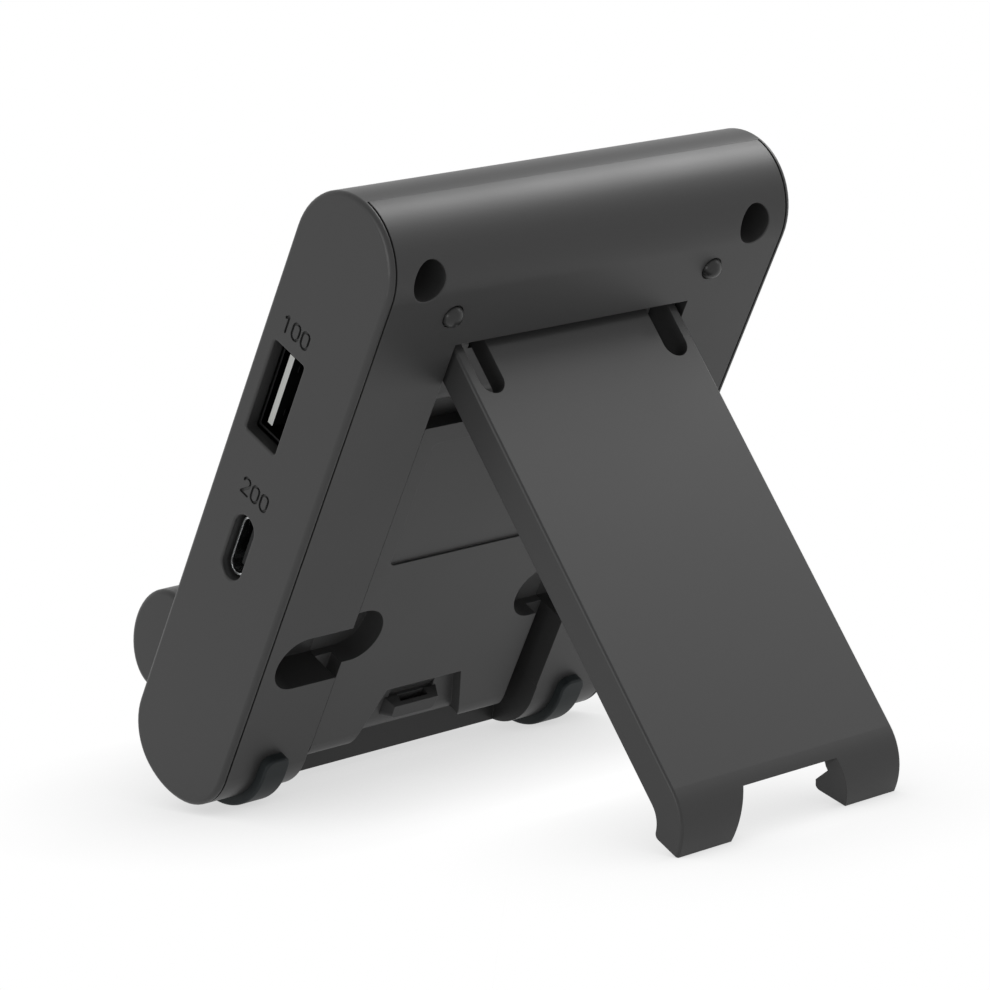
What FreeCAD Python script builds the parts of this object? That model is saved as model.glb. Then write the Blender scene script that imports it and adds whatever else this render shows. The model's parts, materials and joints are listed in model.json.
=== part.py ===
import FreeCAD, Part
import os
from math import sin, cos, tan, radians, sqrt, atan2, pi

# Stand for a handheld games console: a round-ended slab that leans back on one hinged leg.
# Everything is drawn in the slab's own frame: x across the slab, y through it with the back
# at +y, z up the slab. place() then leans the slab until its pads and the leg share the ground.

V = FreeCAD.Vector
os.makedirs("parts", exist_ok=True)

# Slab outline, seen from the side
width = 74.2            # across the two end caps
thick = 19.5            # front face to back face
crown_z = 81.2          # centre of the round top
corner_r = 8.5          # lower front and back corners
base_r = 12.0           # shallow arc between them
base_z = -7.3           # lowest point of the slab
wall = 1.8              # shell wall
cap_wall = 2.0          # end caps with the ports
cap_rim = 0.8           # part of the cap that shows outside the back shell
cap_round = 0.7         # rounding of the cap's rim
seam_gap = 0.3          # shadow gap between cap and back shell
fit = 0.05              # running or assembly clearance

# Recess for the leg, cut into the back
recess_half = 21.7      # half width between the two columns
bridge_z = 72.65        # lower edge of the bridge above the leg
side_rib = 1.2          # wall beside the tray
tray_wall = 1.3
panel_side_gap = 0.64   # raised middle of the tray, from the leg's flanges
panel_drop = 2.57       # back face down to the panel
channel_drop = 4.87     # back face down to the channels beside it
panel_low = -1.0        # lower edge of the panel
notch_low = -0.62       # lower edge of the notch's floor
edge_deep = 0.8         # these edges fall away in a flat oval curve
edge_high = 2.2
channel_low = 4.0       # lower end of the channels
panel_top = 56.5        # upper edge of the panel
slot_width = 2.9        # dark slot above the panel
slot_drop = 6.2         # its depth below the back face
bed_drop = 3.2          # back face down to the hinge bed
bed_above = 0.3         # bed rises this far above the pivot, inside the leg's sweep
post_gap = 0.3          # posts stand in the leg's slots, clear of its web
bed_round = 2.3         # rounded lower edge of the bed
label_half = 15.9       # shallow label field in the panel
label_low = 32.6
label_high = 53.5
label_depth = 0.35      # depth at its lower edge
label_shallow = 0.08    # and at its upper edge
label_corner = 1.0
toe_wall_y = 2.5        # wall behind the folded feet
toe_wall_z = -1.8
toe_lip_y = 4.28
toe_lip_z = -6.5
toe_step = 0.12         # the recess is this much wider below the channels
toe_strip = 1.6         # shell wall beyond the feet's tips

# Cable passages on both sides
passage_z = 20.75
passage_r = 4.34
passage_in = 3.15       # outer end, from the cap's face
passage_inner = 12.8
passage_drop = 6.2
passage_wall = 1.2

# Leg
leg_side_gap = 0.83     # beside the folded leg in its recess
leg_web = 2.3
leg_web_top = 2.84      # thicker web beside the hinge
leg_web_top_s = 11.0
leg_flange = 4.56       # depth of the side flanges and feet
flange_wall = 1.63
leg_edge = 0.4          # rounded outer edge
pivot_y = 5.90
pivot_z = 68.56
leg_top_s = 3.2         # leg above the pivot
foot_turn = 64.3        # how far the feet curl round the slab's lower corner, degrees
foot_start_s = 69.9     # where the feet become solid
foot_gap_s = 69.35      # root of the gap between the feet
foot_round = 0.8        # rounded inner corner of the feet's tips
foot_gap_slant = 0.25   # the gap's root rises inwards under the web
foot_gap_half = 8.86    # gap between the feet at its root
foot_gap_tip = 11.1     # and at the tips
open_angle = 64.7       # from folded flat to the pose shown, degrees
slot_wide = 4.17        # slots that make the side arms springy
slot_s = 8.9

# Hinge
knuckle_r = 2.9
stub_r = 1.5            # pivot moulded on each side arm
stub_short = 0.2        # it ends this far before its bore does
collar_r = 2.2
collar_gap = 0.1
bore_boss_r = 3.0       # wall round each bore in the back shell
bore_boss_long = 1.4    # beyond the side rib
cave_gap = 0.4          # room round the knuckles

# Ledge that carries the console
ledge_half = 25.6
ledge_low = -7.13
ledge_high = 8.87
ledge_reach = 16.6      # from the front face
ledge_nose = 6.27       # depth of the rounded nose
ledge_wall = 2.0

# Plug for the console
plug_y = 7.15           # in front of the front face
plug_wide = 8.25
plug_thick = 2.4
plug_long = 6.6
plug_wall = 0.3
carrier_wide = 13.0
carrier_thick = 6.4
carrier_rise = 1.4

# Ports in the end cap
data_z = 57.53
data_y = -3.70
data_wide = 14.4         # opening along z
data_high = 6.5          # opening along y
data_set = 1.9           # socket set back from the cap's face
data_shell_wide = 13.2
data_shell_high = 5.7
data_shell_long = 13.6
data_shell_wall = 0.3
data_tongue_drop = 1.65 # tongue's front face ahead of the socket's middle
data_tongue_thick = 1.0
data_tongue_half = 5.55
power_z = 34.15
power_y = -1.35
power_wide = 10.1
power_high = 4.1
power_set = 1.25
power_shell_wide = 9.2
power_shell_high = 3.3
power_shell_long = 7.3
power_shell_wall = 0.28
port_round = 0.4
mark_high = 2.4         # sunk figures above the ports
mark_line = 0.4
mark_depth = 0.35
data_mark_z = 68.1
power_mark_z = 43.1

# Circuit boards
board_thick = 1.6
board_y = 0.6           # front side of the main board
board_low = 27.5
board_high = 63.7
board_tab = 66.2        # top of the board beside the socket
board_in = 8.0
board_edge_in = 2.0     # outer edge, from the cap's face
board_tab_gap = 0.3
board_gap = 0.3         # free space behind the board
board_screw_x = 12.0
board_screw_low = 3.5   # heights above the board's lower edge
board_screw_mid = 17.5
board_screw_high = 24.5
board_screw_long = 5.0
board_head_r = 1.6
board_head_h = 0.8
board_screw_r = 0.8
board_post_r = 2.2
plug_board_wide = 18.0
plug_board_deep = 9.0
plug_board_thick = 1.0
cable_wide = 8.0
cable_thick = 0.3
cable_lap = 4.5         # length soldered to the main board
cable_y = -2.0          # its run down the slab
cable_sag = 1.4         # loop below the plug's board
cable_end = 1.5         # where it meets that board, behind the plug's middle

# Screws
screw_in = 6.93         # from the cap's face
screw_z = 83.7
screw_hole_r = 2.75
screw_rim = 0.15        # rounded rim of that hole
screw_head_r = 2.3
screw_head_h = 1.6
screw_r = 1.3
screw_long = 8.0
screw_seat_y = 2.0
boss_r = 3.2
low_screw_in = 8.7
low_screw_z = 2.2
low_hole_r = 1.95
low_head_r = 1.85

# Bumpers and rubber feet
bumper_in = 13.0        # from the cap's face
bumper_z = 77.65
bumper_r = 1.6
bumper_rise = 1.3
bumper_seat_r = 1.73
bumper_seat = 0.35
bumper_stem_r = 1.0
pad_wide = 4.45         # each lies over a lower case screw's line
pad_rise = 1.4
pad_seat = 0.6
pad_high = 4.4          # upper end on the back face
pad_end_y = -1.5        # lower end under the slab
pad_corner = 1.6
pad_edge = 0.35

# Socket block at the foot of the recess
block_notch_half = 7.1
block_notch_foot = 10.35 # half width at the panel's lower edge
block_notch_corner = 1.2
block_notch_high = 8.5
block_notch_drop = 4.35
block_half = 4.13
block_root_half = 4.9
block_top_z = 4.63
block_root_z = 5.2
block_low = 2.5
block_root_low = 1.75
block_corner = 0.9
block_mouth_half = 2.55
block_mouth = 1.1
block_mouth_deep = 1.6
scoop_half = 4.2        # ramp that leads into the block's mouth
scoop_high = 6.6
scoop_deep = 0.6

half = thick / 2
cap_x = width / 2
corner_y = half - corner_r
base_c = base_z + base_r
corner_z = base_c - sqrt((base_r - corner_r) ** 2 - corner_y ** 2)
seam_x = cap_x - cap_rim
front_y = -half
leg_half = recess_half - leg_side_gap
slot_out = leg_half - flange_wall
slot_in = slot_out - slot_wide
panel_half = slot_out - panel_side_gap
passage_outer = cap_x - passage_in
screw_x = cap_x - screw_in
low_screw_x = cap_x - low_screw_in
pad_x = low_screw_x
bumper_x = cap_x - bumper_in
bore_boss_end = recess_half + side_rib + bore_boss_long
outer_h = half - pivot_y            # leg's outer face above the pivot, flush when folded


def box(x0, x1, y0, y1, z0, z1):
    return Part.makeBox(x1 - x0, y1 - y0, z1 - z0, V(x0, y0, z0))


def rod(radius, a, b):
    a, b = V(*a), V(*b)
    return Part.makeCylinder(radius, (b - a).Length, a, b - a)


def arc(a, m, b):
    return Part.Arc(V(0, *a), V(0, *m), V(0, *b)).toShape()


def line(a, b):
    return Part.makeLine(V(0, *a), V(0, *b))


def polar(cy, cz, r, degrees):
    a = radians(degrees)
    return (cy + r * cos(a), cz + r * sin(a))


def prism(edges, x0, x1):
    """Solid between x0 and x1 whose outline is the closed chain of edges in the y-z plane."""
    face = Part.Face(Part.Wire(edges))
    face.translate(V(x0, 0, 0))
    return face.extrude(V(x1 - x0, 0, 0))


def polygon(points, x0, x1):
    edges = [line(a, b) for a, b in zip(points, points[1:] + points[:1])]
    return prism(edges, x0, x1)


def plan(points, y0, y1):
    """Solid between y0 and y1 whose outline lies in the x-z plane."""
    pts = [V(x, y0, z) for x, z in points]
    face = Part.Face(Part.makePolygon(pts + pts[:1]))
    return face.extrude(V(0, y1 - y0, 0))


def mirrored(shape):
    return shape.mirror(V(0, 0, 0), V(1, 0, 0))


def both(shape):
    return [shape, mirrored(shape)]


def join(shapes):
    result = shapes[0].multiFuse(shapes[1:]).removeSplitter()
    return result.Solids[0] if len(result.Solids) == 1 else result


def slab(inset, x0, x1):
    """The slab's side outline, inset by a wall, between x0 and x1."""
    h, rc, rb = half - inset, corner_r - inset, base_r - inset
    ty, tz = corner_y / (base_r - corner_r), (corner_z - base_c) / (base_r - corner_r)
    a = degrees_of(ty, tz)
    right, left = (h, crown_z), (-h, crown_z)
    edges = [arc(right, (0, crown_z + h), left), line(left, (-h, corner_z)),
             arc((-h, corner_z), polar(-corner_y, corner_z, rc, -180 - a / 2), (-rb * ty, base_c + rb * tz)),
             arc((-rb * ty, base_c + rb * tz), (0, base_c - rb), (rb * ty, base_c + rb * tz)),
             arc((rb * ty, base_c + rb * tz), polar(corner_y, corner_z, rc, a / 2), (h, corner_z)),
             line((h, corner_z), right)]
    return prism(edges, x0, x1)


def degrees_of(y, z):
    return atan2(z, y) * 180 / pi


def round_edges(shape, radius, wanted):
    edges = [e for e in shape.Edges if wanted(e)]
    return shape.makeFillet(radius, edges) if edges else shape


def stadium(x0, x1, z, radius, y0, y1):
    """Round-ended slot along x, its ends at x0 and x1."""
    parts = [rod(radius, (x0 + radius, y0, z), (x0 + radius, y1, z)),
             rod(radius, (x1 - radius, y0, z), (x1 - radius, y1, z))]
    if x1 - x0 > 2 * radius + 0.01:
        parts.append(box(x0 + radius, x1 - radius, y0, y1, z - radius, z + radius))
    return join(parts)


def port_tool(y, z, wide, high, corner, x0, x1):
    """Rounded opening through the end cap, long side along z."""
    tool = box(x0, x1, y - high / 2, y + high / 2, z - wide / 2, z + wide / 2)
    return round_edges(tool, corner, lambda e: abs(e.Length - (x1 - x0)) < 1e-6 and len(e.Vertexes) == 2
                       and abs(e.Vertexes[0].X - e.Vertexes[1].X) > 1e-6)


def passages():
    tools = []
    for x0, x1 in ((passage_inner, passage_outer), (-passage_outer, -passage_inner)):
        tools.append(stadium(x0, x1, passage_z, passage_r, half - passage_drop, half + 1))
    return tools


def toe_profile(y_end):
    """Room for the folded feet below the panel, seen from the side."""
    end = toe_line(toe_wall_z)[1]
    return [(toe_wall_y, channel_low), (toe_wall_y, toe_wall_z), end, (y_end, end[1]), (y_end, channel_low)]


def toe_line(z_top):
    """Slanted face beyond the folded feet's tips, from z_top to below the slab."""
    slope = (toe_lip_y - toe_wall_y) / (toe_lip_z - toe_wall_z)
    low = base_z - 2
    return [(toe_wall_y + slope * (z_top - toe_wall_z), z_top), (toe_wall_y + slope * (low - toe_wall_z), low)]


def screw_points():
    return ((screw_x, screw_z, boss_r), (low_screw_x, low_screw_z, boss_r))


def strokes(points, closed, x, y, z):
    """Sunk line on the cap's face through the points, given across and up from (y, z)."""
    path = [(y + a, z + b) for a, b in points]
    pairs = zip(path, path[1:] + path[:1] if closed else path[1:])
    out = []
    for (ya, za), (yb, zb) in pairs:
        long = sqrt((yb - ya) ** 2 + (zb - za) ** 2)
        bar = box(x - mark_depth, x + 1, 0, long, -mark_line / 2, mark_line / 2)
        bar.rotate(V(0, 0, 0), V(1, 0, 0), degrees_of(yb - ya, zb - za))
        bar.translate(V(0, ya, za))
        out += [bar, rod(mark_line / 2, (x - mark_depth, ya, za), (x + 1, ya, za)),
                rod(mark_line / 2, (x - mark_depth, yb, zb), (x + 1, yb, zb))]
    return out


def figure(name, y, z):
    """Outline of the figure 0, 1 or 2 standing on (y, z), drawn with one line."""
    h, w = mark_high, 0.58 * mark_high
    r = w / 2
    turn = lambda cz, a0, a1, n: [(r + r * cos(radians(a0 + (a1 - a0) * i / n)),
                                   cz + r * sin(radians(a0 + (a1 - a0) * i / n))) for i in range(n + 1)]
    if name == "0":
        return strokes(turn(h - r, 0, 180, 8) + turn(r, 180, 360, 8), True, cap_x, y, z)
    if name == "1":
        return strokes([(0.2 * w, 0.8 * h), (0.6 * w, h), (0.6 * w, 0)], False, cap_x, y, z)
    return strokes(turn(h - r, 165, -35, 8) + [(0, 0), (w, 0)], False, cap_x, y, z)


def marks():
    """Plain numbers in the place of the port labels."""
    pitch = 0.84 * mark_high
    out = []
    for text, y, z in (("100", data_y, data_mark_z), ("200", power_y, power_mark_z)):
        start = y - pitch * len(text) / 2 + 0.13 * mark_high
        for i, name in enumerate(text):
            out += figure(name, start + pitch * i, z - mark_high / 2)
    return join(out)


def front_shell():
    """Front half, both end caps with their inner lip, and the ledge."""
    inside = cap_x - cap_wall
    body = slab(0, -cap_x, cap_x)
    body = round_edges(body, cap_round, lambda e: abs(abs(e.BoundBox.XMin) - cap_x) < 1e-4
                       and e.BoundBox.XLength < 1e-4)
    back_half = box(-seam_x, seam_x, 0, thick, base_z - 5, crown_z + thick)
    body = body.cut(slab(-1, -seam_x, seam_x).cut(slab(wall + fit, -seam_x, seam_x)).common(back_half))
    body = body.fuse(ledge(0))
    body = body.cut([slab(wall, -inside, inside), ledge(ledge_wall)])
    data = port_tool(data_y, data_z, data_wide, data_high, port_round, inside - 3, cap_x + 1)
    power = port_tool(power_y, power_z, power_wide, power_high, power_high / 2 - 0.01, inside - 3, cap_x + 1)
    body = body.cut([data, power])
    body = round_edges(body, port_round * 0.9, lambda e: e.BoundBox.XMin > cap_x - 1e-4
                       and e.BoundBox.YMax < half - 2 and e.BoundBox.YMin > -half + 2
                       and e.BoundBox.ZMin > power_z - power_wide and e.BoundBox.ZMax < data_z + data_wide)
    posts = []
    for x, z, r in screw_points():
        posts += both(rod(r, (x, -half, z), (x, -fit, z)))
    for x, z in board_screws():
        posts.append(rod(board_post_r, (x, -half, z), (x, board_y, z)))
    body = body.fuse([p.common(slab(wall / 2, -cap_x, cap_x)) for p in posts])
    holes = []
    for x, z, r in screw_points():
        holes += both(rod(screw_r * 0.8, (x, screw_seat_y - screw_long - 1, z), (x, 1, z)))
    hole_end = board_y + board_thick - board_screw_long - fit
    for x, z in board_screws():
        holes.append(rod(board_screw_r, (x, hole_end, z), (x, board_y + 1, z)))
    holes.append(upright_stadium(carrier_wide + 2 * fit, carrier_thick + 2 * fit, plug_centre(),
                                 ledge_high - 2 * ledge_wall, ledge_high + 1))
    holes += pad_solids(pad_seat, 0, True) + marks().Solids
    return body.cut(holes).removeSplitter()


def upright_stadium(wide, deep, y, z0, z1):
    """Round-ended bar standing along z, long side along x."""
    r = deep / 2
    parts = [rod(r, (s * (wide / 2 - r), y, z0), (s * (wide / 2 - r), y, z1)) for s in (-1, 1)]
    parts.append(box(-(wide / 2 - r), wide / 2 - r, y - r, y + r, z0, z1))
    return join(parts)


def ledge(inset):
    """Ledge with a rounded nose; inset gives the hollow inside it."""
    z0, z1 = ledge_low + inset, ledge_high - inset
    root = front_y - ledge_reach + ledge_nose
    mid, tall, deep = (z0 + z1) / 2, (z1 - z0) / 2, ledge_nose - inset
    back = -4.0 if inset else -sqrt(base_r ** 2 - (base_c - ledge_low) ** 2)
    oval = Part.Ellipse(V(0, root, z1), V(0, root - deep, mid), V(0, root, mid))
    a, b = oval.parameter(V(0, root, z1)), oval.parameter(V(0, root, z0))
    if oval.value((a + b) / 2).y > root or b < a:
        a, b = (b, a + 2 * pi) if b > a else (a, b + 2 * pi)
    nose = oval.toShape(a, b)
    x = ledge_half - inset
    body = prism([line((back, z1), (root, z1)), nose, line((root, z0), (back, z0)),
                  line((back, z0), (back, z1))], -x, x)
    if not inset:
        body = round_edges(body, cap_round, lambda e: abs(abs(e.BoundBox.XMin) - x) < 1e-4
                           and e.BoundBox.XLength < 1e-4 and e.BoundBox.YMin < back - 1e-3)
    return body


def back_shell():
    x = seam_x - seam_gap
    back_half = box(-x, x, 0, thick, base_z - 5, crown_z + thick)
    body = slab(0, -x, x).cut(slab(wall, -x, x)).common(back_half)
    rib_y = toe_wall_y - tray_wall
    rib_top = bridge_z + 3.0
    frame = []
    rib_x = recess_half + side_rib
    shallow = board_y + board_thick + board_gap
    for z0, z1, y0 in ((base_z, board_low - 1, rib_y), (board_low - 1.0, board_high, shallow),
                       (board_high, rib_top + side_rib, rib_y)):
        frame += both(box(recess_half, rib_x, y0, half, z0, z1))
    frame.append(box(-rib_x, rib_x, rib_y, half, rib_top, rib_top + side_rib))
    cup_x = cap_x - cap_wall - 2 * fit
    cups = both(stadium(0, passage_outer + passage_wall, passage_z, passage_r + passage_wall,
                        half - passage_drop - passage_wall, half)
                .common(box(recess_half, cup_x, 0, thick, 0, crown_z)))
    tubes = []
    screws = ((screw_x, screw_z, screw_hole_r), (low_screw_x, low_screw_z, low_hole_r))
    for sx, z, r in screws:
        tubes += both(rod(r + 1.2, (sx, 0, z), (sx, half, z)))
    tubes += both(rod(bumper_stem_r + 1.0, (bumper_x, half - wall - 1.0, bumper_z),
                      (bumper_x, half - 0.5, bumper_z)))
    tubes += both(rod(bore_boss_r, (recess_half, pivot_y, pivot_z), (bore_boss_end, pivot_y, pivot_z)))
    strip = toe_line(toe_wall_z - fit) + [(y - toe_strip, z) for y, z in reversed(toe_line(toe_wall_z - fit))]
    tubes.append(polygon(strip, -rib_x, rib_x))
    inner = join([body] + frame + cups + tubes)
    inner = inner.common(slab(0, -x, x)).common(back_half)
    cuts = [box(-recess_half, recess_half, channel_low_y(), thick, channel_low, bridge_z),
            polygon(toe_profile(thick), -recess_half - toe_step, recess_half + toe_step)]
    # room for the tray under the bridge
    cuts.append(box(-recess_half, recess_half, -1, half - wall, bridge_z - 1, rib_top))
    cuts.append(box(-recess_half, recess_half, 0, half - wall - 0.5, toe_wall_z - fit, bridge_z))
    cuts += passages()
    for sx, z, r in screws:
        cuts += both(rod(r, (sx, screw_seat_y, z), (sx, thick, z)))
        cuts += both(rod(screw_r + 0.15, (sx, -1, z), (sx, screw_seat_y + 1, z)))
    cuts += both(rod(bumper_seat_r, (bumper_x, half - bumper_seat, bumper_z), (bumper_x, thick, bumper_z)))
    cuts += both(rod(bumper_stem_r, (bumper_x, 0, bumper_z), (bumper_x, thick, bumper_z)))
    cuts += both(rod(stub_r + fit, (recess_half - 1, pivot_y, pivot_z),
                     (bore_boss_end + 1, pivot_y, pivot_z)))
    cuts += pad_solids(pad_seat, 0, True)
    body = inner.cut(cuts).removeSplitter()
    # rims of the upper screw holes, which run over the flat back and the round top
    r = screw_hole_r + 0.1
    return round_edges(body, screw_rim, lambda e: e.BoundBox.YMin > half - 3.5 and e.BoundBox.XLength > 1.0
                       and e.BoundBox.ZMin > screw_z - r and e.BoundBox.ZMax < screw_z + r
                       and abs(abs(e.CenterOfMass.x) - screw_x) < 1.5)


def channel_low_y():
    return half - passage_drop


def pad_outline(r_in, r_out):
    """Strip round the lower back corner, seen from the side, from pad_high down to pad_end_y."""
    y, z = corner_y, corner_z
    a_end = degrees_of(corner_y, corner_z - base_c)
    ty, tz = cos(radians(a_end)), sin(radians(a_end))
    g_in, g_out = r_in - corner_r, r_out - corner_r
    b_in, b_out = base_r + g_in, base_r + g_out
    end = lambda rb: (pad_end_y, base_c - sqrt(rb ** 2 - pad_end_y ** 2))
    mid_y = lambda rb: (ty * rb + pad_end_y) / 2
    mid = lambda rb: (mid_y(rb), base_c - sqrt(rb ** 2 - mid_y(rb) ** 2))
    out_t, in_t = (b_out * ty, base_c + b_out * tz), (b_in * ty, base_c + b_in * tz)
    return [line((y + r_in, pad_high), (y + r_out, pad_high)),
            line((y + r_out, pad_high), (y + r_out, z)),
            arc((y + r_out, z), polar(y, z, r_out, a_end / 2), out_t), arc(out_t, mid(b_out), end(b_out)),
            line(end(b_out), end(b_in)), arc(end(b_in), mid(b_in), in_t),
            arc(in_t, polar(y, z, r_in, a_end / 2), (y + r_in, z)), line((y + r_in, z), (y + r_in, pad_high))]


def pad_solids(depth, rise, cutter=False):
    grow = 2.0 if cutter else rise
    out = []
    for s in (1, -1):
        p = prism(pad_outline(corner_r - depth, corner_r + grow),
                  s * pad_x - pad_wide / 2, s * pad_x + pad_wide / 2)
        p = round_edges(p, pad_corner, lambda e: e.BoundBox.XLength < 1e-4 and e.BoundBox.ZLength < 1e-4
                        and abs(e.BoundBox.ZMax - pad_high) < 1e-4)
        if not cutter:
            p = round_edges(p, pad_edge, lambda e: e.BoundBox.YMin > half + rise - 1e-3
                            and e.BoundBox.ZMin > pad_high - pad_corner - 1e-3)
        out.append(p)
    return out


def rubber_feet():
    return pad_solids(pad_seat, pad_rise)


def plate(x_half, face_y, low, high):
    """Plate of the recess floor whose lower edge falls away in a quarter of an oval."""
    back = toe_wall_y - tray_wall
    foot, rise = face_y - edge_deep, low + edge_high
    oval = Part.Ellipse(V(0, foot, rise + edge_high), V(0, foot + edge_deep, rise), V(0, foot, rise))
    a, b = oval.parameter(V(0, foot, low)), oval.parameter(V(0, face_y, rise))
    if oval.value((a + b) / 2 if a < b else (a + b + 2 * pi) / 2).y < foot:
        a, b = b, a
    curve = oval.toShape(a, b if b > a else b + 2 * pi)
    return prism([line((back, low), (foot, low)), curve, line((face_y, rise), (face_y, high)),
                  line((face_y, high), (back, high)), line((back, high), (back, low))], -x_half, x_half)


def notch(y0):
    """Flared notch in the panel's lower edge, from depth y0 outwards, with rounded corners at its foot."""
    w, f, out = block_notch_half, block_notch_foot, panel_half - 1
    low, below = panel_low, panel_low - 2
    right = [(f, low), (out, low), (out, below)]
    left = [(-x, z) for x, z in reversed(right)]
    tool = plan([(-w, block_notch_high), (w, block_notch_high)] + right + left, y0, thick)
    return round_edges(tool, block_notch_corner, lambda e: e.BoundBox.YLength > 1
                       and abs(abs(e.CenterOfMass.x) - f) < 1e-3 and abs(e.CenterOfMass.z - low) < 1e-3)


def tray():
    """Floor of the recess: panel, side channels, hinge bed and posts, wall behind the feet."""
    x = recess_half - fit
    inner_y = toe_wall_y - tray_wall
    rib_top = bridge_z + 3.0
    py, cy, by = half - panel_drop, half - channel_drop, half - bed_drop
    ny = half - block_notch_drop
    cave_z = pivot_z - knuckle_r - cave_gap
    cave_y = pivot_y - knuckle_r - cave_gap - 0.1
    bed_low, bed_high = panel_top + slot_width, pivot_z + bed_above
    k = bed_round * (1 - sqrt(0.5))
    parts = [plate(panel_half, py, panel_low, panel_top).cut(notch(ny - edge_deep - 0.1)),
             plate(block_notch_foot + 1.5, ny, notch_low, block_notch_high + 1)]
    parts.append(box(-x, x, cy - tray_wall, cy, channel_low, cave_z))
    slot_y = half - slot_drop
    parts.append(box(-x, x, slot_y - tray_wall, slot_y, panel_top - 1, bed_low + 1))
    bed = [line((inner_y, bed_low), (by - bed_round, bed_low)),
           arc((by - bed_round, bed_low), (by - k, bed_low + k), (by, bed_low + bed_round)),
           line((by, bed_low + bed_round), (by, bed_high)), line((by, bed_high), (inner_y, bed_high)),
           line((inner_y, bed_high), (inner_y, bed_low))]
    parts.append(prism(bed, -panel_half, panel_half))
    parts += both(box(slot_in + post_gap, panel_half, inner_y, by, bed_high - 1, rib_top - fit))
    parts.append(box(-x, x, cave_y - side_rib, cave_y, cave_z - side_rib, rib_top - fit))
    parts += both(box(panel_half, x, cave_y - side_rib, cy, cave_z - side_rib, cave_z))
    parts.append(box(-x, x, cave_y - side_rib, half - wall, rib_top - side_rib, rib_top - fit))
    # wall behind the folded feet
    parts.append(box(-x, x, inner_y, toe_wall_y, toe_wall_z, channel_low))
    parts += both(box(panel_half, x, inner_y, cy, channel_low, channel_low + tray_wall))
    # walls of the cable passages
    f = half - passage_drop
    parts += both(box(passage_inner - passage_wall, x, f - passage_wall, cy - 0.1,
                      passage_z - passage_r - passage_wall, passage_z + passage_r + passage_wall))
    body = join(parts)
    # hollow behind the panel and the bed
    hollow_y = py - tray_wall
    cuts = []
    for z0, z1 in ((block_notch_high + 1.5, passage_z - passage_r - passage_wall),
                   (passage_z + passage_r + passage_wall, panel_top - tray_wall)):
        cuts.append(box(-(panel_half - tray_wall), panel_half - tray_wall, inner_y - 1, hollow_y, z0, z1))
    cuts.append(box(-(passage_inner - passage_wall), passage_inner - passage_wall, inner_y - 1, hollow_y,
                    passage_z - passage_r - passage_wall - 0.1, passage_z + passage_r + passage_wall + 0.1))
    for z0, z1 in ((channel_low + tray_wall, passage_z - passage_r - passage_wall),
                   (passage_z + passage_r + passage_wall, panel_top - tray_wall)):
        cuts += both(box(panel_half - tray_wall - 0.1, panel_half, inner_y - 1, cy - tray_wall, z0, z1))
    cuts.append(box(-(panel_half - tray_wall), panel_half - tray_wall, inner_y - 1, by - tray_wall,
                    bed_low + tray_wall, cave_z - tray_wall))
    cuts += both(box(panel_half - tray_wall - 0.1, panel_half + 0.1, inner_y - 1, cy - tray_wall,
                     bed_low - 1, cave_z - tray_wall))
    # board clearance behind the tray
    cuts.append(box(board_in - 1, x + 1, -1, board_y + board_thick + board_gap, board_low - 0.5, board_high))
    # shallow label field with rounded corners, deepest at its lower edge
    field = polygon([(py + 1, label_low), (py - label_depth, label_low), (py - label_shallow, label_high),
                     (py + 1, label_high)], -label_half, label_half)
    cuts.append(round_edges(field, label_corner,
                            lambda e: e.BoundBox.YLength > 0.5 and e.BoundBox.ZLength < 1e-3))
    # ramp into the mouth of the socket block
    cuts.append(polygon([(ny, scoop_high), (ny + 1, scoop_high), (ny + 1, block_root_z - 0.1),
                         (ny - scoop_deep, block_root_z - 0.1)], -scoop_half, scoop_half))
    cuts += passages()
    return body.cut(cuts).removeSplitter()


def leg_arc(r, a0, a1):
    """Arc about the slab's lower back corner, angles from +y towards -z."""
    return arc(polar(corner_y, corner_z, r, -a0), polar(corner_y, corner_z, r, -(a0 + a1) / 2),
               polar(corner_y, corner_z, r, -a1))


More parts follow.
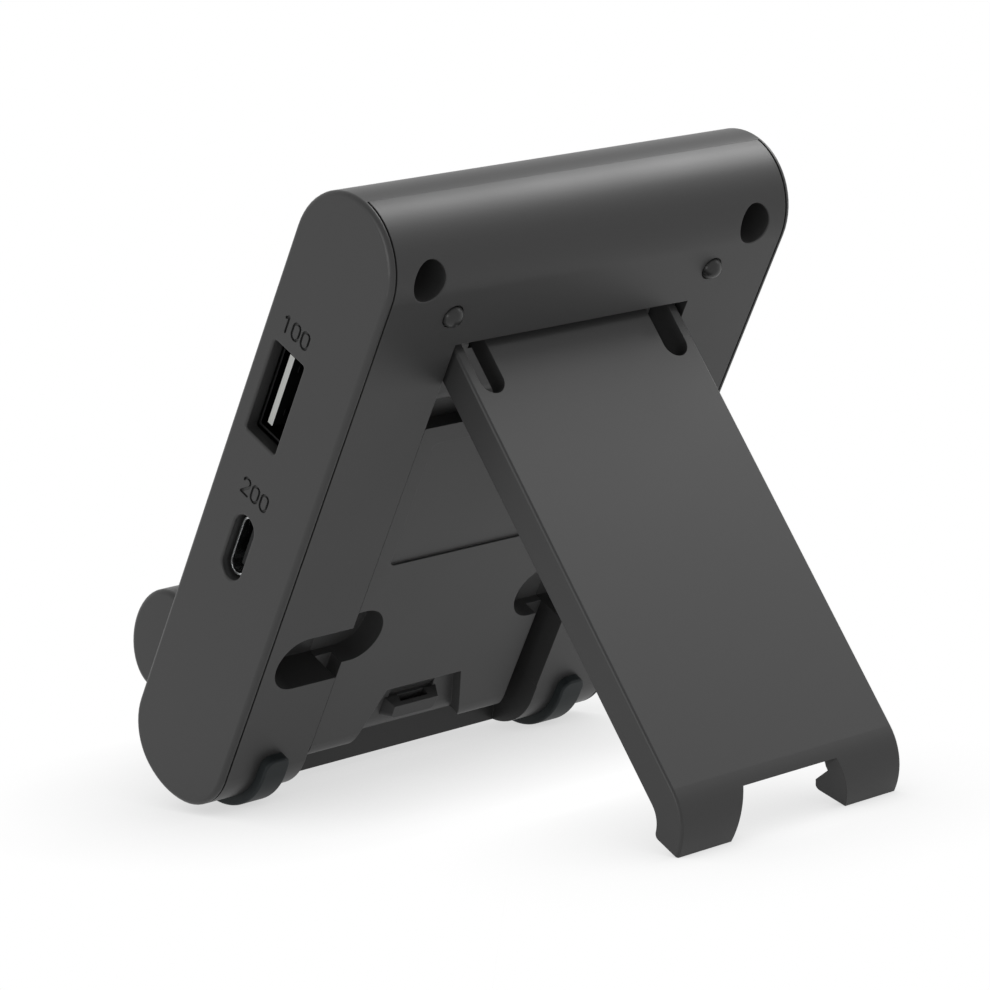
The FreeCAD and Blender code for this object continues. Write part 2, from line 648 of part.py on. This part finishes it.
def leg():
    r_in = corner_r - leg_flange
    r_web = corner_r - leg_web
    top = pivot_z + leg_top_s
    outer = [line((half, top), (half, corner_z)), leg_arc(corner_r, 0, foot_turn),
             line(polar(corner_y, corner_z, corner_r, -foot_turn), polar(corner_y, corner_z, r_in, -foot_turn)),
             leg_arc(r_in, foot_turn, 0), line((half - leg_flange, corner_z), (half - leg_flange, top)),
             line((half - leg_flange, top), (half, top))]
    body = prism(outer, -leg_half, leg_half)
    body = round_edges(body, leg_edge, lambda e: e.BoundBox.XLength < 1e-4 and e.BoundBox.YMax > half - 1e-3
                       and (e.BoundBox.YLength < 1e-3 or min(e.BoundBox.YLength, e.BoundBox.ZLength) > 1))
    # underside: web between the flanges, solid feet
    z_foot = pivot_z - foot_start_s
    z_thick = pivot_z - leg_web_top_s
    w = leg_half - flange_wall
    under = polygon([(half - leg_web, z_thick), (half - leg_web, corner_z), (corner_y, corner_z),
                     (corner_y, z_foot), (-half, z_foot), (-half, z_thick)], -w, w)
    centre = (corner_y, corner_z)
    round_part = prism([leg_arc(r_web, 0, 89.9), line(polar(*centre, r_web, -89.9), centre),
                        line(centre, polar(*centre, r_web, 0))], -w, w)
    round_part = round_part.common(box(-w, w, -half, thick, z_foot, corner_z))
    top_part = box(-w, w, -half, half - leg_web_top, z_thick - 0.01, top + 1)
    body = body.cut([under, round_part, top_part])
    barrel = rod(outer_h, (-leg_half, pivot_y, pivot_z), (leg_half, pivot_y, pivot_z))
    body = body.cut(box(-leg_half, leg_half, 0, thick, pivot_z, top + 1).cut(barrel))
    # upper end: the side arms end in round knuckles with the pivots on their outer sides
    body = body.cut([box(-leg_half - 1, leg_half + 1, -half, half - leg_web_top, pivot_z, top + 1)])
    knuckles = both(rod(knuckle_r, (w, pivot_y, pivot_z), (leg_half, pivot_y, pivot_z)))
    knuckles += both(rod(collar_r, (w, pivot_y, pivot_z), (recess_half - collar_gap, pivot_y, pivot_z)))
    knuckles += both(rod(stub_r, (w, pivot_y, pivot_z), (bore_boss_end - stub_short, pivot_y, pivot_z)))
    body = join([body] + knuckles)
    slot_r = (slot_out - slot_in) / 2
    cuts = []
    for s in (1, -1):
        xm = s * (slot_in + slot_out) / 2
        zc = pivot_z - slot_s + slot_r
        cuts.append(box(xm - slot_r, xm + slot_r, 0, thick, zc, top + 1))
        cuts.append(rod(slot_r, (xm, 0, zc), (xm, thick, zc)))
    body = body.cut(cuts).removeSplitter()
    # gap between the feet, its root slanting back under the web
    z_root, z_tip = pivot_z - foot_gap_s, corner_z - corner_r - 1
    tip = foot_gap_tip + (foot_gap_tip - foot_gap_half) * 0.2
    root = [(-foot_gap_half, z_root), (-foot_gap_half, z_root + leg_web),
            (foot_gap_half, z_root + leg_web), (foot_gap_half, z_root)]
    gap = plan(root + [(tip, z_tip), (-tip, z_tip)], -half, thick)
    z_in = z_root + leg_flange * foot_gap_slant
    lean_cut = polygon([(half + 1, z_root - 1), (half, z_root), (half - leg_flange, z_in), (-half, z_in),
                        (-half, z_tip - 1), (half + 1, z_tip - 1)], -leg_half, leg_half)
    body = body.cut(gap.common(lean_cut)).removeSplitter()
    tip_in = polar(corner_y, corner_z, r_in, -foot_turn)
    return round_edges(body, foot_round, lambda e: max(e.BoundBox.YLength, e.BoundBox.ZLength) < 1e-3
                       and abs(e.CenterOfMass.y - tip_in[0]) < 1e-3 and abs(e.CenterOfMass.z - tip_in[1]) < 1e-3)


def opened(shape):
    """Turn the folded leg out to the pose shown."""
    shape = shape.copy()
    shape.rotate(V(0, pivot_y, pivot_z), V(1, 0, 0), open_angle)
    return shape


def bumper(s):
    x = s * bumper_x
    y = half - bumper_seat
    rise = bumper_rise + bumper_seat
    ball_r = (bumper_r ** 2 + rise ** 2) / (2 * rise)
    dome = Part.makeSphere(ball_r, V(x, y + rise - ball_r, bumper_z)).common(
        box(x - 5, x + 5, y, thick, bumper_z - 5, bumper_z + 5))
    return join([dome, rod(bumper_stem_r - fit, (x, half - wall - 1.0, bumper_z), (x, y + 0.1, bumper_z))])


def screw(x, y, z, long, head_r, head_h, shank_r):
    """Pan-head screw whose head seats at y and whose shank runs forward."""
    head = rod(head_r, (x, y, z), (x, y + head_h, z))
    head = round_edges(head, head_h * 0.4, lambda e: e.BoundBox.YMin > y + head_h - 1e-4)
    body = join([head, rod(shank_r, (x, y - long, z), (x, y, z))])
    cross = [box(x - head_r * 0.55, x + head_r * 0.55, y + head_h * 0.45, y + head_h + 1, z - 0.2, z + 0.2),
             box(x - 0.2, x + 0.2, y + head_h * 0.45, y + head_h + 1, z - head_r * 0.55, z + head_r * 0.55)]
    return body.cut(cross)


def upper_screws():
    return [screw(s * screw_x, screw_seat_y, screw_z, screw_long, screw_head_r, screw_head_h, screw_r * 0.8)
            for s in (1, -1)]


def lower_screws():
    return [screw(s * low_screw_x, screw_seat_y, low_screw_z, screw_long, low_head_r, screw_head_h, screw_r * 0.8)
            for s in (1, -1)]


def board_screws():
    return ((board_screw_x, board_low + board_screw_low), (board_screw_x, board_low + board_screw_high),
            (screw_x, board_low + board_screw_mid))


def board_screw_set():
    return [screw(x, board_y + board_thick, z, board_screw_long, board_head_r, board_head_h, board_screw_r)
            for x, z in board_screws()]


def main_board():
    edge = cap_x - board_edge_in - fit
    y0, y1 = board_y, board_y + board_thick
    body = box(board_in, edge, y0, y1, board_low, board_high)
    tab = box(recess_half + side_rib + board_tab_gap, edge, y0, y1, board_high - 1, board_tab)
    body = join([body, tab])
    return body.cut([rod(board_screw_r + 3 * fit, (x, -half, z), (x, half, z)) for x, z in board_screws()])


def data_shell():
    x1 = cap_x - data_set
    x0 = x1 - data_shell_long
    w, h, t = data_shell_wide, data_shell_high, data_shell_wall
    y0, y1 = data_y - h / 2, data_y + h / 2
    body = box(x0, x1, y0, y1, data_z - w / 2, data_z + w / 2)
    body = body.cut(box(x0 + t, x1 + 1, y0 + t, y1 - t, data_z - w / 2 + t, data_z + w / 2 - t))
    tabs = [box(x0 + 4, x0 + 5.6, y1 - t, board_y, data_z + s * (w / 2 - t / 2) - t / 2,
                data_z + s * (w / 2 - t / 2) + t / 2) for s in (1, -1)]
    return join([body] + tabs)


def data_core():
    """Insulator with the tongue that carries the contacts on its side towards the board."""
    x1 = cap_x - data_set
    x0 = x1 - data_shell_long + data_shell_wall
    w, h, t = data_shell_wide, data_shell_high, data_shell_wall
    y0, y1 = data_y - h / 2 + t, data_y + h / 2 - t
    block = box(x0, x0 + 3.4, y0, y1, data_z - w / 2 + t, data_z + w / 2 - t)
    front = data_y - data_tongue_drop
    tongue = box(x0, x1 - 0.25, front, front + data_tongue_thick,
                 data_z - data_tongue_half, data_z + data_tongue_half)
    return join([block, tongue])


def data_contacts():
    x1 = cap_x - data_set
    y = data_y - data_tongue_drop + data_tongue_thick
    x0 = x1 - data_shell_long + data_shell_wall + 3.4
    out = []
    for z, long in ((-3.5, 0.6), (-1.0, 1.6), (1.0, 1.6), (3.5, 0.6)):
        out.append(box(x0, x1 - 1.0 - long, y, y + 0.12, data_z + z - 0.5, data_z + z + 0.5))
    return out


def power_shell():
    x1 = cap_x - power_set
    x0 = x1 - power_shell_long
    w, h, t = power_shell_wide, power_shell_high, power_shell_wall
    body = port_tool(power_y, power_z, w, h, h / 2 - 0.02, x0, x1)
    body = body.cut(port_tool(power_y, power_z, w - 2 * t, h - 2 * t, h / 2 - t - 0.02, x0 + t, x1 + 1))
    foot = box(x0 + 1.0, x0 + 4.5, power_y + h / 2 - t, board_y, power_z - 2.5, power_z + 2.5)
    if board_y - (power_y + h / 2) > 0.01:
        body = join([body, foot])
    return body


def power_core():
    x1 = cap_x - power_set
    x0 = x1 - power_shell_long + power_shell_wall
    w, h, t = power_shell_wide, power_shell_high, power_shell_wall
    base = port_tool(power_y, power_z, w - 2 * t - 0.1, h - 2 * t - 0.1, h / 2 - t - 0.1, x0, x0 + 1.6)
    tongue = box(x0, x1 - 1.0, power_y - 0.35, power_y + 0.35, power_z - 3.3, power_z + 3.3)
    return join([base, tongue])


def power_contacts():
    x1 = cap_x - power_set - 2.4
    x0 = cap_x - power_set - power_shell_long + power_shell_wall + 1.6
    out = []
    for i in range(12):
        z = power_z - 2.75 + 0.5 * i
        for s in (1, -1):
            y = power_y + s * 0.35
            a, b = sorted((y, y + s * 0.06))
            out.append(box(x0, x1, a, b, z - 0.125, z + 0.125))
    return out


def plug_centre():
    return front_y - plug_y


def plug_shell():
    z0 = ledge_high + carrier_rise
    y = plug_centre()
    body = upright_stadium(plug_wide, plug_thick, y, z0 - 3.0, z0 + plug_long)
    return body.cut(upright_stadium(plug_wide - 2 * plug_wall, plug_thick - 2 * plug_wall, y,
                                    z0 + 0.8, z0 + plug_long + 1))


def plug_core():
    """Insulator inside the plug, open in the middle for the console's tongue."""
    z0 = ledge_high + carrier_rise + 0.8
    y = plug_centre()
    t = plug_wall + 0.02
    body = upright_stadium(plug_wide - 2 * t, plug_thick - 2 * t, y, z0, z0 + plug_long - 1.3)
    return body.cut(box(-3.3, 3.3, y - 0.4, y + 0.4, z0 + 1.0, z0 + plug_long))


def plug_carrier():
    y = plug_centre()
    top = ledge_high + carrier_rise
    body = upright_stadium(carrier_wide, carrier_thick, y, ledge_high - ledge_wall - 1.5, top)
    body = round_edges(body, 0.5, lambda e: e.BoundBox.ZMin > top - 1e-4)
    flange = upright_stadium(carrier_wide + 4, carrier_thick - 0.6, y,
                             ledge_high - ledge_wall - 1.5, ledge_high - ledge_wall)
    body = join([body, flange])
    return body.cut(upright_stadium(plug_wide + 2 * 0.02, plug_thick + 2 * 0.02, y, top - 3.0, top + 1))


def plug_board():
    y = plug_centre()
    z1 = ledge_high - ledge_wall - 1.5
    wide, deep = plug_board_wide / 2, plug_board_deep / 2
    return box(-wide, wide, y - deep, y + deep, z1 - plug_board_thick, z1)


def flat_cable():
    """Flat cable from the main board down into the ledge."""
    x0 = -cable_wide / 2 + board_in - 3.0
    y_top, z_top = board_y, board_low + cable_lap
    z_plug = ledge_high - ledge_wall - 1.5 - plug_board_thick
    y_plug = plug_centre() + cable_end
    t = cable_thick
    mid_z, mid_y = z_plug - cable_sag, cable_y
    pts = [(y_top - t, z_top), (y_top, z_top), (y_top, board_low - 1.0), (mid_y + t, board_low - 4.0),
           (mid_y + t, mid_z - t), (y_plug, mid_z - t), (y_plug, z_plug), (y_plug + t, z_plug),
           (y_plug + t, mid_z), (mid_y, mid_z), (mid_y, board_low - 4.2), (y_top - t, board_low - 1.2)]
    return polygon(pts, x0, x0 + cable_wide)


def socket_block():
    """Small raised block with a mouth that opens upward, its corners rounded below."""
    ny = half - block_notch_drop
    py = half - panel_drop
    base = [(ny, block_root_low), (ny, block_root_z), (py, block_top_z), (py, block_low)]
    body = polygon(base, -block_root_half, block_root_half)
    for s in (1, -1):
        wedge = [V(s * block_half, py + 0.01, -5), V(s * (block_root_half + 1), py + 0.01, -5),
                 V(s * (block_root_half + 1), ny - 0.01, -5), V(s * block_root_half, ny - 0.01, -5)]
        body = body.cut(Part.Face(Part.makePolygon(wedge + wedge[:1])).extrude(V(0, 0, 20)))
    body = round_edges(body, block_corner, lambda e: e.BoundBox.YLength > 1 and abs(e.CenterOfMass.x) > 1
                       and e.BoundBox.ZMax < block_low + 1e-3)
    return body.cut(box(-block_mouth_half, block_mouth_half, ny - 1, ny + block_mouth,
                        block_top_z - block_mouth_deep, block_root_z + 1))


def socket_contacts():
    """Contacts along the mouth's outer wall."""
    y = half - block_notch_drop + block_mouth
    out = []
    for i in range(6):
        x = 0.84 * (i - 2.5)
        out.append(box(x - 0.2, x + 0.2, y - 0.2, y, block_top_z - block_mouth_deep, block_top_z - 0.5))
    return out


def lean():
    """Angle at which the rubber feet and the leg's feet touch one ground."""
    tip = polar(corner_y, corner_z, corner_r, -foot_turn)
    y, z = tip[0] - pivot_y, tip[1] - pivot_z
    a = radians(open_angle)
    ty, tz = pivot_y + y * cos(a) - z * sin(a), pivot_z + y * sin(a) + z * cos(a)
    lo, hi = radians(5), radians(60)
    for _ in range(60):
        t = (lo + hi) / 2
        pads = -corner_y * sin(t) + corner_z * cos(t) - corner_r - pad_rise
        foot = -ty * sin(t) + tz * cos(t)
        lo, hi = (t, hi) if foot > pads else (lo, t)
    return t, pads


def spread(t):
    """Front and back limits of the leaning stand along the ground."""
    a = radians(open_angle)
    y, z = corner_y - pivot_y, corner_z - pivot_z
    cy, cz = pivot_y + y * cos(a) - z * sin(a), pivot_z + y * sin(a) + z * cos(a)
    back = cy * cos(t) + cz * sin(t) + corner_r
    root, mid = front_y - ledge_reach + ledge_nose, (ledge_low + ledge_high) / 2
    tall = (ledge_high - ledge_low) / 2
    front = root * cos(t) + mid * sin(t) - sqrt((ledge_nose * cos(t)) ** 2 + (tall * sin(t)) ** 2)
    return front, back


def place(shape):
    t, low = lean()
    front, back = spread(t)
    shape = shape.copy()
    shape.rotate(V(0, 0, 0), V(1, 0, 0), -t * 180 / pi)
    shape.translate(V(0, -(front + back) / 2, -low))
    return shape


def save(name, shape):
    solids = shape if isinstance(shape, list) else [shape]
    solids = [s for item in solids for s in item.Solids]
    solids = [place(s) for s in solids]
    for s in solids:
        if not s.isValid() or s.Volume <= 0:
            raise RuntimeError(name + " is not a valid solid")
    out = solids[0] if len(solids) == 1 else Part.Compound(solids)
    out.exportStep("parts/" + name + ".step")
    print(name, len(solids), round(sum(s.Volume for s in solids), 2))


save("front_shell", front_shell())
save("back_shell", back_shell())
save("tray", tray())
save("leg", opened(leg()))
save("bumper_left", bumper(-1))
save("bumper_right", bumper(1))
feet = rubber_feet()
save("rubber_foot_right", feet[0])
save("rubber_foot_left", feet[1])
save("case_screws_upper", upper_screws())
save("case_screws_lower", lower_screws())
save("main_board", main_board())
save("board_screws", board_screw_set())
save("data_socket_shell", data_shell())
save("data_socket_core", data_core())
save("data_socket_contacts", data_contacts())
save("power_socket_shell", power_shell())
save("power_socket_core", power_core())
save("power_socket_contacts", power_contacts())
save("plug_shell", plug_shell())
save("plug_core", plug_core())
save("plug_carrier", plug_carrier())
save("plug_board", plug_board())
save("flat_cable", flat_cable())
save("socket_block", socket_block())
save("socket_contacts", socket_contacts())
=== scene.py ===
import json
import math
import bpy
from mathutils import Matrix, Vector

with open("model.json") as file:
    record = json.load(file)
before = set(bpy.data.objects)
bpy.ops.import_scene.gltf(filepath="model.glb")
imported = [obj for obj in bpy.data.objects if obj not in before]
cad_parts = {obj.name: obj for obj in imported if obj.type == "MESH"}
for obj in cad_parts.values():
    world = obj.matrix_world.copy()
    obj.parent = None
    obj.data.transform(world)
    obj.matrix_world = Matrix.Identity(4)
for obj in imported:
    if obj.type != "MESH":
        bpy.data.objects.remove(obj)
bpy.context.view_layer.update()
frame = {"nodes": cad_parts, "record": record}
nodes = frame["nodes"]

# Sizes of surface patterns, in metres
mould_grain = 0.0003        # real grain is about 0.08 mm wide, too fine to show, so it is drawn coarser
grain_deep = 0.000005
rubber_grain_deep = 0.000008
polished_grain_deep = 0.000001
tone_patch = 0.012          # width of the patches where a mould is a little more or less polished
rolling_mark = 0.0005       # length of one mark on rolled metal
mark_ratio = 12             # a mark's length against its width
track_pitch = 0.0015
moulded_edge = 0.00012      # radius at which a moulded edge catches light
bumper_edge = 0.0001
insert_edge = 0.00006
sheet_edge = 0.00008
tongue_skin = 0.0002        # depth within which a face belongs to the tongue's end

# How far roughness varies to either side
patch_glossier, patch_duller = 0.02, 0.03
mark_glossier, mark_duller = 0.06, 0.08

# Studio, in metres and degrees
floor_wide = 12.0
# floor_glow: strength of the floor's painted glow, an emission that stands in for light bounced up onto the
# object
floor_glow = 0.3
dome_light = 0.4
shadow_reach = 0.03
shadow_level = 0.6          # brightness of the painted shadow on the floor where the object covers it
lamp_away = 1.2
lamp_target = Vector((0.0, 0.02, 0.045))
camera_place = (0.403968, 0.445997, 0.135313)
camera_right = Vector((-0.730747, 0.677914, -0.080255))
camera_up = Vector((-0.164145, -0.060377, 0.984587))
camera_view = 12.818819
sensor_wide = 36.0          # millimetres
white = (1, 1, 1, 1)


# Materials
def linear(code):
    """sRGB hex to linear RGBA."""
    out = []
    for i in (0, 2, 4):
        c = int(code[i:i + 2], 16) / 255
        out.append(c / 12.92 if c <= 0.04045 else ((c + 0.055) / 1.055) ** 2.4)
    return (*out, 1.0)


def add(tree, kind, links=None, **values):
    """Adds a shader node, sets its properties or sockets, and links its inputs."""
    n = tree.nodes.new(kind)
    for key, value in values.items():
        if hasattr(n, key):
            setattr(n, key, value)
        else:
            n.inputs[key.replace("_", " ")].default_value = value
    for key, source in (links or {}).items():
        tree.links.new(source, n.inputs[key])
    return n


def start(name):
    """New material with an empty node tree."""
    finish = bpy.data.materials.new(name)
    finish.use_nodes = True
    finish.node_tree.nodes.clear()
    return finish, finish.node_tree


def close(tree, shader, kind="ShaderNodeOutputMaterial"):
    """Links the shader to the tree's output."""
    out = tree.nodes.new(kind)
    tree.links.new(shader.outputs[0], out.inputs["Surface"])


def moulded(name, code, rough, shine, edge=moulded_edge, deep=grain_deep):
    """Injection-moulded plastic or rubber. shine is the specular level, deep the depth of its grain."""
    finish, tree = start(name)
    where = add(tree, "ShaderNodeTexCoord").outputs["Object"]
    fine = add(tree, "ShaderNodeTexNoise", {"Vector": where}, Scale=1 / mould_grain, Detail=2.0)
    wide = add(tree, "ShaderNodeTexNoise", {"Vector": where}, Scale=1 / tone_patch, Detail=3.0)
    tone = add(tree, "ShaderNodeMapRange", {"Value": wide.outputs["Fac"]},
               To_Min=rough - patch_glossier, To_Max=rough + patch_duller)
    soft = add(tree, "ShaderNodeBevel", samples=8, Radius=edge)
    bump = add(tree, "ShaderNodeBump", {"Height": fine.outputs["Fac"], "Normal": soft.outputs["Normal"]},
               Strength=1.0, Distance=deep)
    plastic = add(tree, "ShaderNodeBsdfPrincipled",
                  {"Roughness": tone.outputs["Result"], "Normal": bump.outputs["Normal"]},
                  Base_Color=linear(code), Specular_IOR_Level=shine)
    close(tree, plastic)
    return finish


def metal(name, code, rough):
    """Rolled or turned metal with fine marks along one way."""
    finish, tree = start(name)
    where = add(tree, "ShaderNodeTexCoord").outputs["Object"]
    along = add(tree, "ShaderNodeMapping", {"Vector": where}, Scale=(1, mark_ratio, mark_ratio))
    marks = add(tree, "ShaderNodeTexNoise", {"Vector": along.outputs["Vector"]},
                Scale=1 / rolling_mark, Detail=2.0)
    tone = add(tree, "ShaderNodeMapRange", {"Value": marks.outputs["Fac"]},
               To_Min=rough - mark_glossier, To_Max=rough + mark_duller)
    soft = add(tree, "ShaderNodeBevel", samples=4, Radius=sheet_edge)
    sheet = add(tree, "ShaderNodeBsdfPrincipled",
                {"Roughness": tone.outputs["Result"], "Normal": soft.outputs["Normal"]},
                Base_Color=linear(code), Metallic=1.0)
    close(tree, sheet)
    return finish


def board_lacquer(name, code, track_code, rough):
    """Lacquered circuit board: the tracks under the lacquer show a little lighter."""
    finish, tree = start(name)
    where = add(tree, "ShaderNodeTexCoord").outputs["Object"]
    tracks = add(tree, "ShaderNodeTexVoronoi", {"Vector": where}, Scale=1 / track_pitch, distance="CHEBYCHEV")
    tone = add(tree, "ShaderNodeMix", {"Factor": tracks.outputs["Distance"]}, data_type="RGBA")
    first_colour, second_colour, mixed_colour = tone.inputs[6], tone.inputs[7], tone.outputs[2]
    first_colour.default_value = linear(code)
    second_colour.default_value = linear(track_code)
    lacquer = add(tree, "ShaderNodeBsdfPrincipled", {"Base Color": mixed_colour}, Roughness=rough)
    close(tree, lacquer)
    return finish


def polyimide(name, code, rough):
    """Film of a flat cable: smooth, with a clear sheen."""
    finish, tree = start(name)
    film = add(tree, "ShaderNodeBsdfPrincipled", Base_Color=linear(code), Roughness=rough)
    close(tree, film)
    return finish


# ABS from a spark-eroded mould: neutral charcoal, an even matt face, broad soft highlights on the rounds
SHELL = moulded("charcoal ABS, spark-eroded mould", "343434", 0.4, 0.28)
# The same ABS, shining a little less; in the recess tray its colour is painted lighter, as painted light that
# lifts the shade there
TRAY = moulded("charcoal ABS, recess tray", "404040", 0.45, 0.28)
# The same ABS, a little duller than the case, its colour painted a little darker as painted shade against the
# light the leg's broad face catches: the face looks even
LEG = moulded("charcoal ABS, hinged leg", "323232", 0.42, 0.28)
# Moulded rubber: darker than the case, a little cold, with a weak broad highlight
RUBBER = moulded("black rubber, moulded", "242829", 0.5, 0.15, deep=rubber_grain_deep)
# Soft plastic from a polished mould: dark, with one small clear highlight on its crown
BUMPER = moulded("soft PVC bumper, polished mould", "262626", 0.28, 0.3,
                 edge=bumper_edge, deep=polished_grain_deep)
# Nylon, glass-filled and moulded: a dull greyish white, its white greyed as painted shade, since the tongue
# sits in its dark mouth
WHITE = moulded("white glass-filled nylon", "b6b7b4", 0.5, 0.3, edge=insert_edge)
# The same nylon in black: a dull dark mouth round the contacts. On the data socket's core it is painted shade
# over the sides of the white tongue.
INSULATOR = moulded("black glass-filled nylon", "121313", 0.45, 0.25, edge=insert_edge)
# Steel, blackened: nearly black, so a screw only glints at the bottom of its hole
SCREW = metal("blackened steel, turned", "1c1c1c", 0.45)
# Nickel-plated sheet, drawn, its colour darkened as painted shade for socket parts that sit in shade: a grey
# rim, dark inside
PAINTED_SHADE_PLATED = metal("nickel-plated steel, drawn, painted shade", "3a3a3b", 0.32)
# Nickel-plated sheet, drawn: a bright thin rim round the rounded mouth
PLATED = metal("nickel-plated steel, drawn", "c9cbcc", 0.22)
# Gold-plated bronze, stamped: thin warm strips
CONTACT = metal("gold-plated bronze, stamped", "d8b25c", 0.2)
# Glass-epoxy board, green lacquer: glossy green with lighter tracks
BOARD = board_lacquer("green lacquered glass-epoxy board", "1d4a33", "2c6146", 0.35)
# Polyimide film: clear amber brown
CABLE = polyimide("amber polyimide film", "a5612c", 0.3)

finish_of_slot = {"shell": SHELL, "tray": TRAY, "leg": LEG, "rubber": RUBBER, "bumper": BUMPER,
                  "white_insulator": WHITE, "screw": SCREW, "plated": PLATED, "black_insulator": INSULATOR,
                  "contact": CONTACT, "board": BOARD, "cable": CABLE}
# In both sockets the contacts, the data socket's shell and the sides of its core get dark finishes as painted
# shade, since they sit in shade inside the sockets
painted_shade_of_piece = {"data_socket_shell": PAINTED_SHADE_PLATED, "data_socket_core": INSULATOR,
                   "data_socket_contacts": PAINTED_SHADE_PLATED, "power_socket_contacts": PAINTED_SHADE_PLATED}
slot_of = {s["node"]: s["material_slot"] for s in frame["record"]["subparts"]}
for name, piece in nodes.items():
    piece.data.materials.clear()
    piece.data.materials.append(painted_shade_of_piece.get(name) or finish_of_slot[slot_of[name]])

# The data socket's tongue shows white only on its end, which faces out of the end cap and catches the light.
# Its other faces keep the black nylon as painted shade.
core = nodes["data_socket_core"]
core.data.materials.append(WHITE)
tongue_end = max(v.co.x for v in core.data.vertices)
for face in core.data.polygons:
    if face.normal.x > 0.9 and face.center.x > tongue_end - tongue_skin:
        face.material_index = 1


# Floor and light
def sheet_on_floor(name, wide, finish):
    """Square level sheet at the height that the object stands on."""
    half = wide / 2
    mesh = bpy.data.meshes.new(name)
    corners = [(-half, -half, 0), (half, -half, 0), (half, half, 0), (-half, half, 0)]
    mesh.from_pydata(corners, [], [(0, 1, 2, 3)])
    mesh.materials.append(finish)
    sheet = bpy.data.objects.new(name, mesh)
    bpy.context.scene.collection.objects.link(sheet)
    return sheet


def seen_rays(tree):
    """1 for rays that show the background: from the camera, or by reflection or through glass."""
    path = add(tree, "ShaderNodeLightPath")
    direct = add(tree, "ShaderNodeMath", {0: path.outputs["Is Camera Ray"], 1: path.outputs["Is Glossy Ray"]},
                 operation="MAXIMUM")
    return add(tree, "ShaderNodeMath", {0: direct.outputs[0], 1: path.outputs["Is Transmission Ray"]},
               operation="MAXIMUM")


def paper(name, code, glow):
    """Matte paper that lights the object from below with a painted glow, an emission. It shows as white, with
    a painted soft shadow round the object's feet, drawn from ambient occlusion.
    """
    finish, tree = start(name)
    near = add(tree, "ShaderNodeAmbientOcclusion", samples=12, Distance=shadow_reach)
    shade = add(tree, "ShaderNodeMapRange", {"Value": near.outputs["AO"]},
                From_Min=0.0, From_Max=1.0, To_Min=shadow_level, To_Max=1.0)
    shown = add(tree, "ShaderNodeEmission", {"Strength": shade.outputs["Result"]}, Color=white)
    matte = add(tree, "ShaderNodeBsdfDiffuse", Color=linear(code))
    painted_glow = add(tree, "ShaderNodeEmission", Color=white, Strength=glow)
    lit = add(tree, "ShaderNodeAddShader", {0: matte.outputs[0], 1: painted_glow.outputs[0]})
    seen = seen_rays(tree)
    both = add(tree, "ShaderNodeMixShader", {0: seen.outputs[0], 1: lit.outputs[0], 2: shown.outputs[0]})
    close(tree, both)
    return finish


floor = sheet_on_floor("floor", floor_wide, paper("white backdrop paper", "f0f0f0", floor_glow))

world = bpy.data.worlds.new("studio")
bpy.context.scene.world = world
world.use_nodes = True
studio = world.node_tree
studio.nodes.clear()
back = add(studio, "ShaderNodeBackground", Color=white, Strength=1.0)
dome = add(studio, "ShaderNodeBackground", Color=white, Strength=dome_light)
seen = seen_rays(studio)
around = add(studio, "ShaderNodeMixShader", {0: seen.outputs[0], 1: dome.outputs[0], 2: back.outputs[0]})
close(studio, around, "ShaderNodeOutputWorld")


def softbox(name, azimuth, elevation, power, size):
    """Square lamp aimed at the object's middle; azimuth in degrees from +X towards +Y, power in watts."""
    a, e = math.radians(azimuth), math.radians(elevation)
    way = Vector((math.cos(e) * math.cos(a), math.cos(e) * math.sin(a), math.sin(e)))
    light = bpy.data.lights.new(name, "AREA")
    light.shape = "SQUARE"
    light.size = size
    light.energy = power
    lamp = bpy.data.objects.new(name, light)
    lamp.location = lamp_target + way * lamp_away
    lamp.rotation_mode = "QUATERNION"
    lamp.rotation_quaternion = (-way).to_track_quat("-Z", "Y")
    lamp.visible_camera = False
    bpy.context.scene.collection.objects.link(lamp)


softbox("low lamp at the end cap", azimuth=0, elevation=8, power=4.5, size=0.5)
softbox("wide lamp behind", azimuth=150, elevation=32, power=0.6, size=0.5)
softbox("small lamp on the leg", azimuth=165, elevation=36, power=1.3, size=0.14)
softbox("softbox over the crown", azimuth=177, elevation=45, power=5.7, size=0.4)

# Camera at the photograph's angle
scene = bpy.context.scene
camera = bpy.data.objects.new("camera", bpy.data.cameras.new("camera"))
scene.collection.objects.link(camera)
camera_back = camera_right.cross(camera_up)
turn = Matrix((camera_right, camera_up, camera_back)).transposed().to_4x4()
camera.matrix_world = Matrix.Translation(camera_place) @ turn
camera.data.sensor_width = sensor_wide
camera.data.lens = sensor_wide / 2 / math.tan(math.radians(camera_view) / 2)
camera.data.clip_start, camera.data.clip_end = 0.05, 20
scene.camera = camera
scene.view_settings.view_transform = "Standard"
